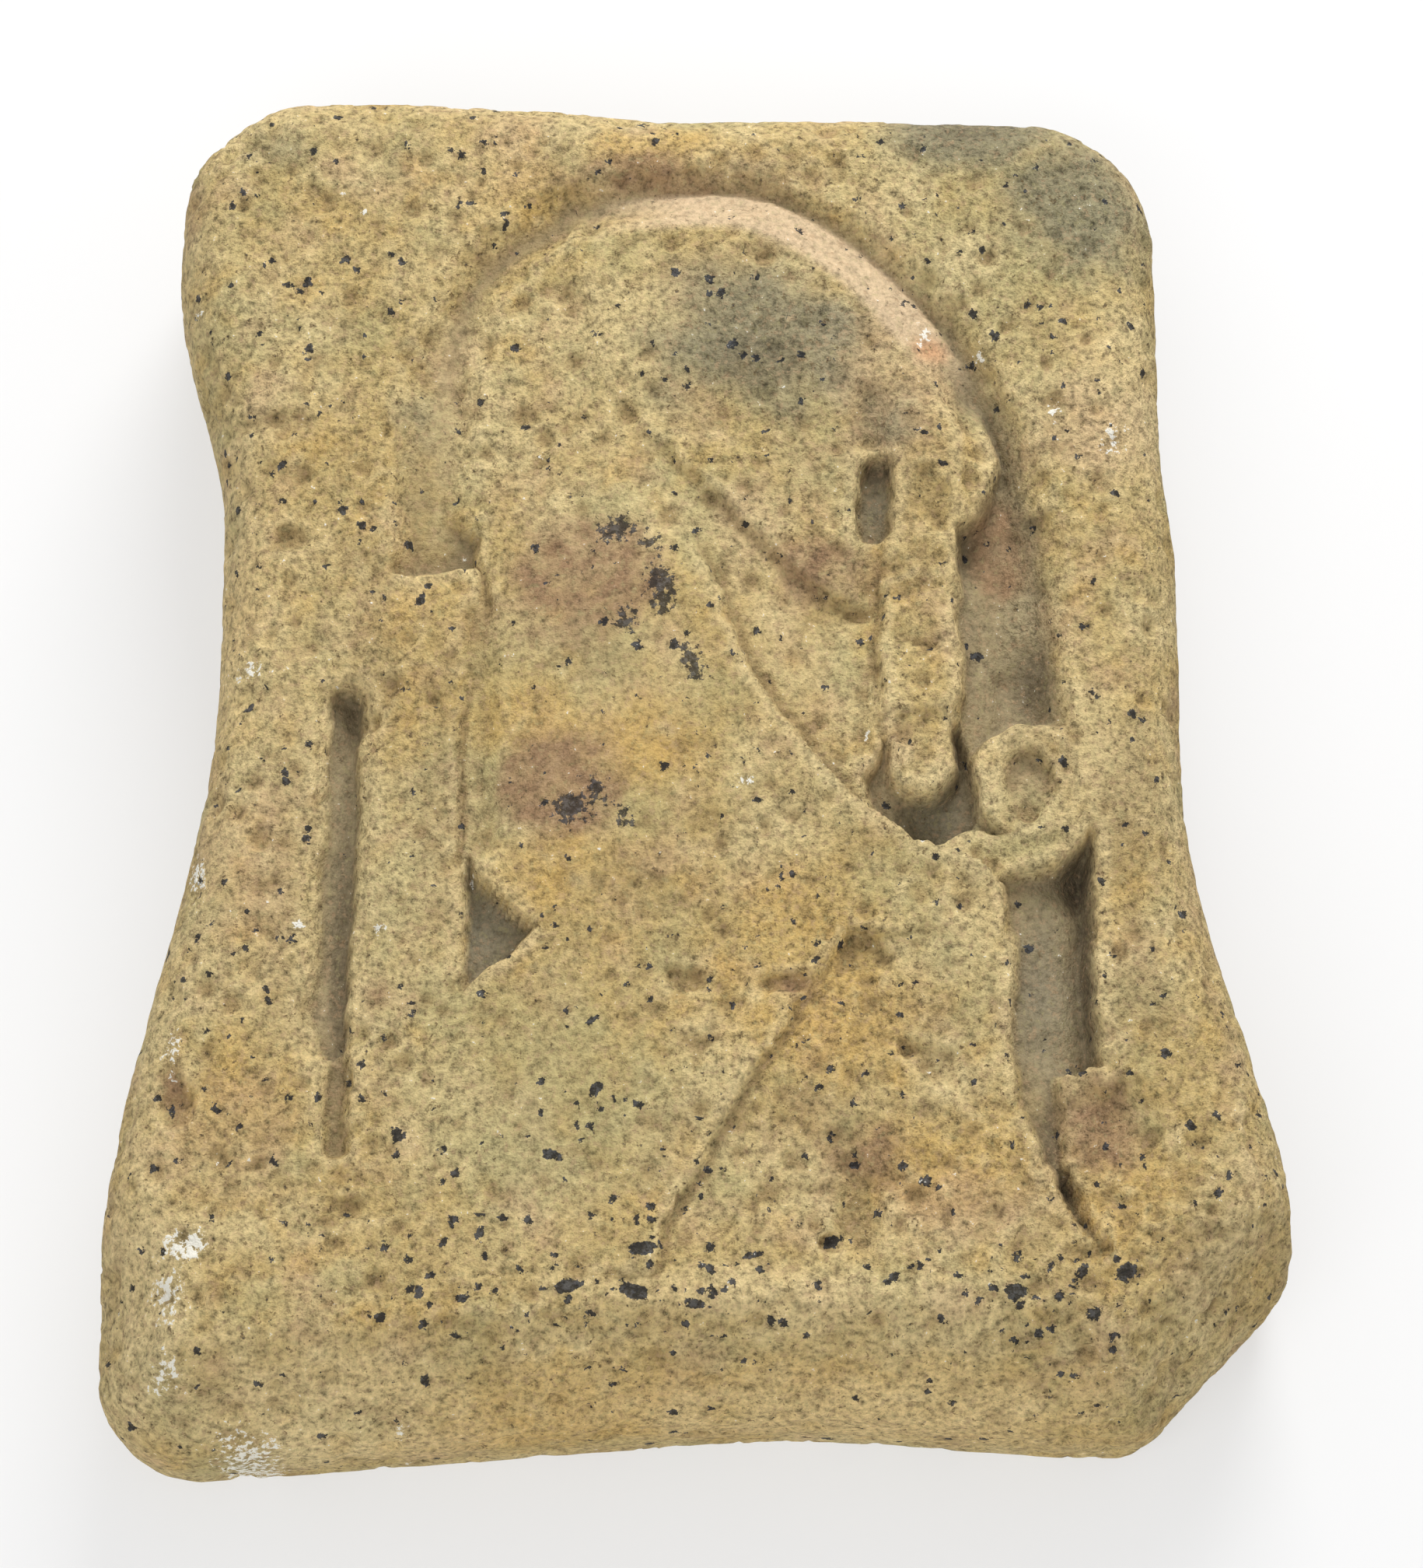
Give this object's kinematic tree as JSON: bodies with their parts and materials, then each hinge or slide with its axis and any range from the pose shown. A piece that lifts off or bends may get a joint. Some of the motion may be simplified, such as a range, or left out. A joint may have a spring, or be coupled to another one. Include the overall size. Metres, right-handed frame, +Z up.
{
  "type": "stone relief panel",
  "caption": "Thick worn sandstone slab with hollowed sides, a raised border and an arched niche holding a seated figure in low relief, to fix flat against a wall.",
  "frame": {"origin": "The middle of the flat back, where the panel meets a wall.", "axes": "+Z is up along the panel towards the arch, +X is to the right for someone who faces the carving, and the carving faces -Y, so +Y points into the wall."},
  "size_m": [0.2201, 0.054, 0.2705],
  "materials": {
    "sandstone": "coarse, weathered, matt"
  },
  "bodies": {
    "root": {"relief_panel": "sandstone"}
  },
  "joints": []
}
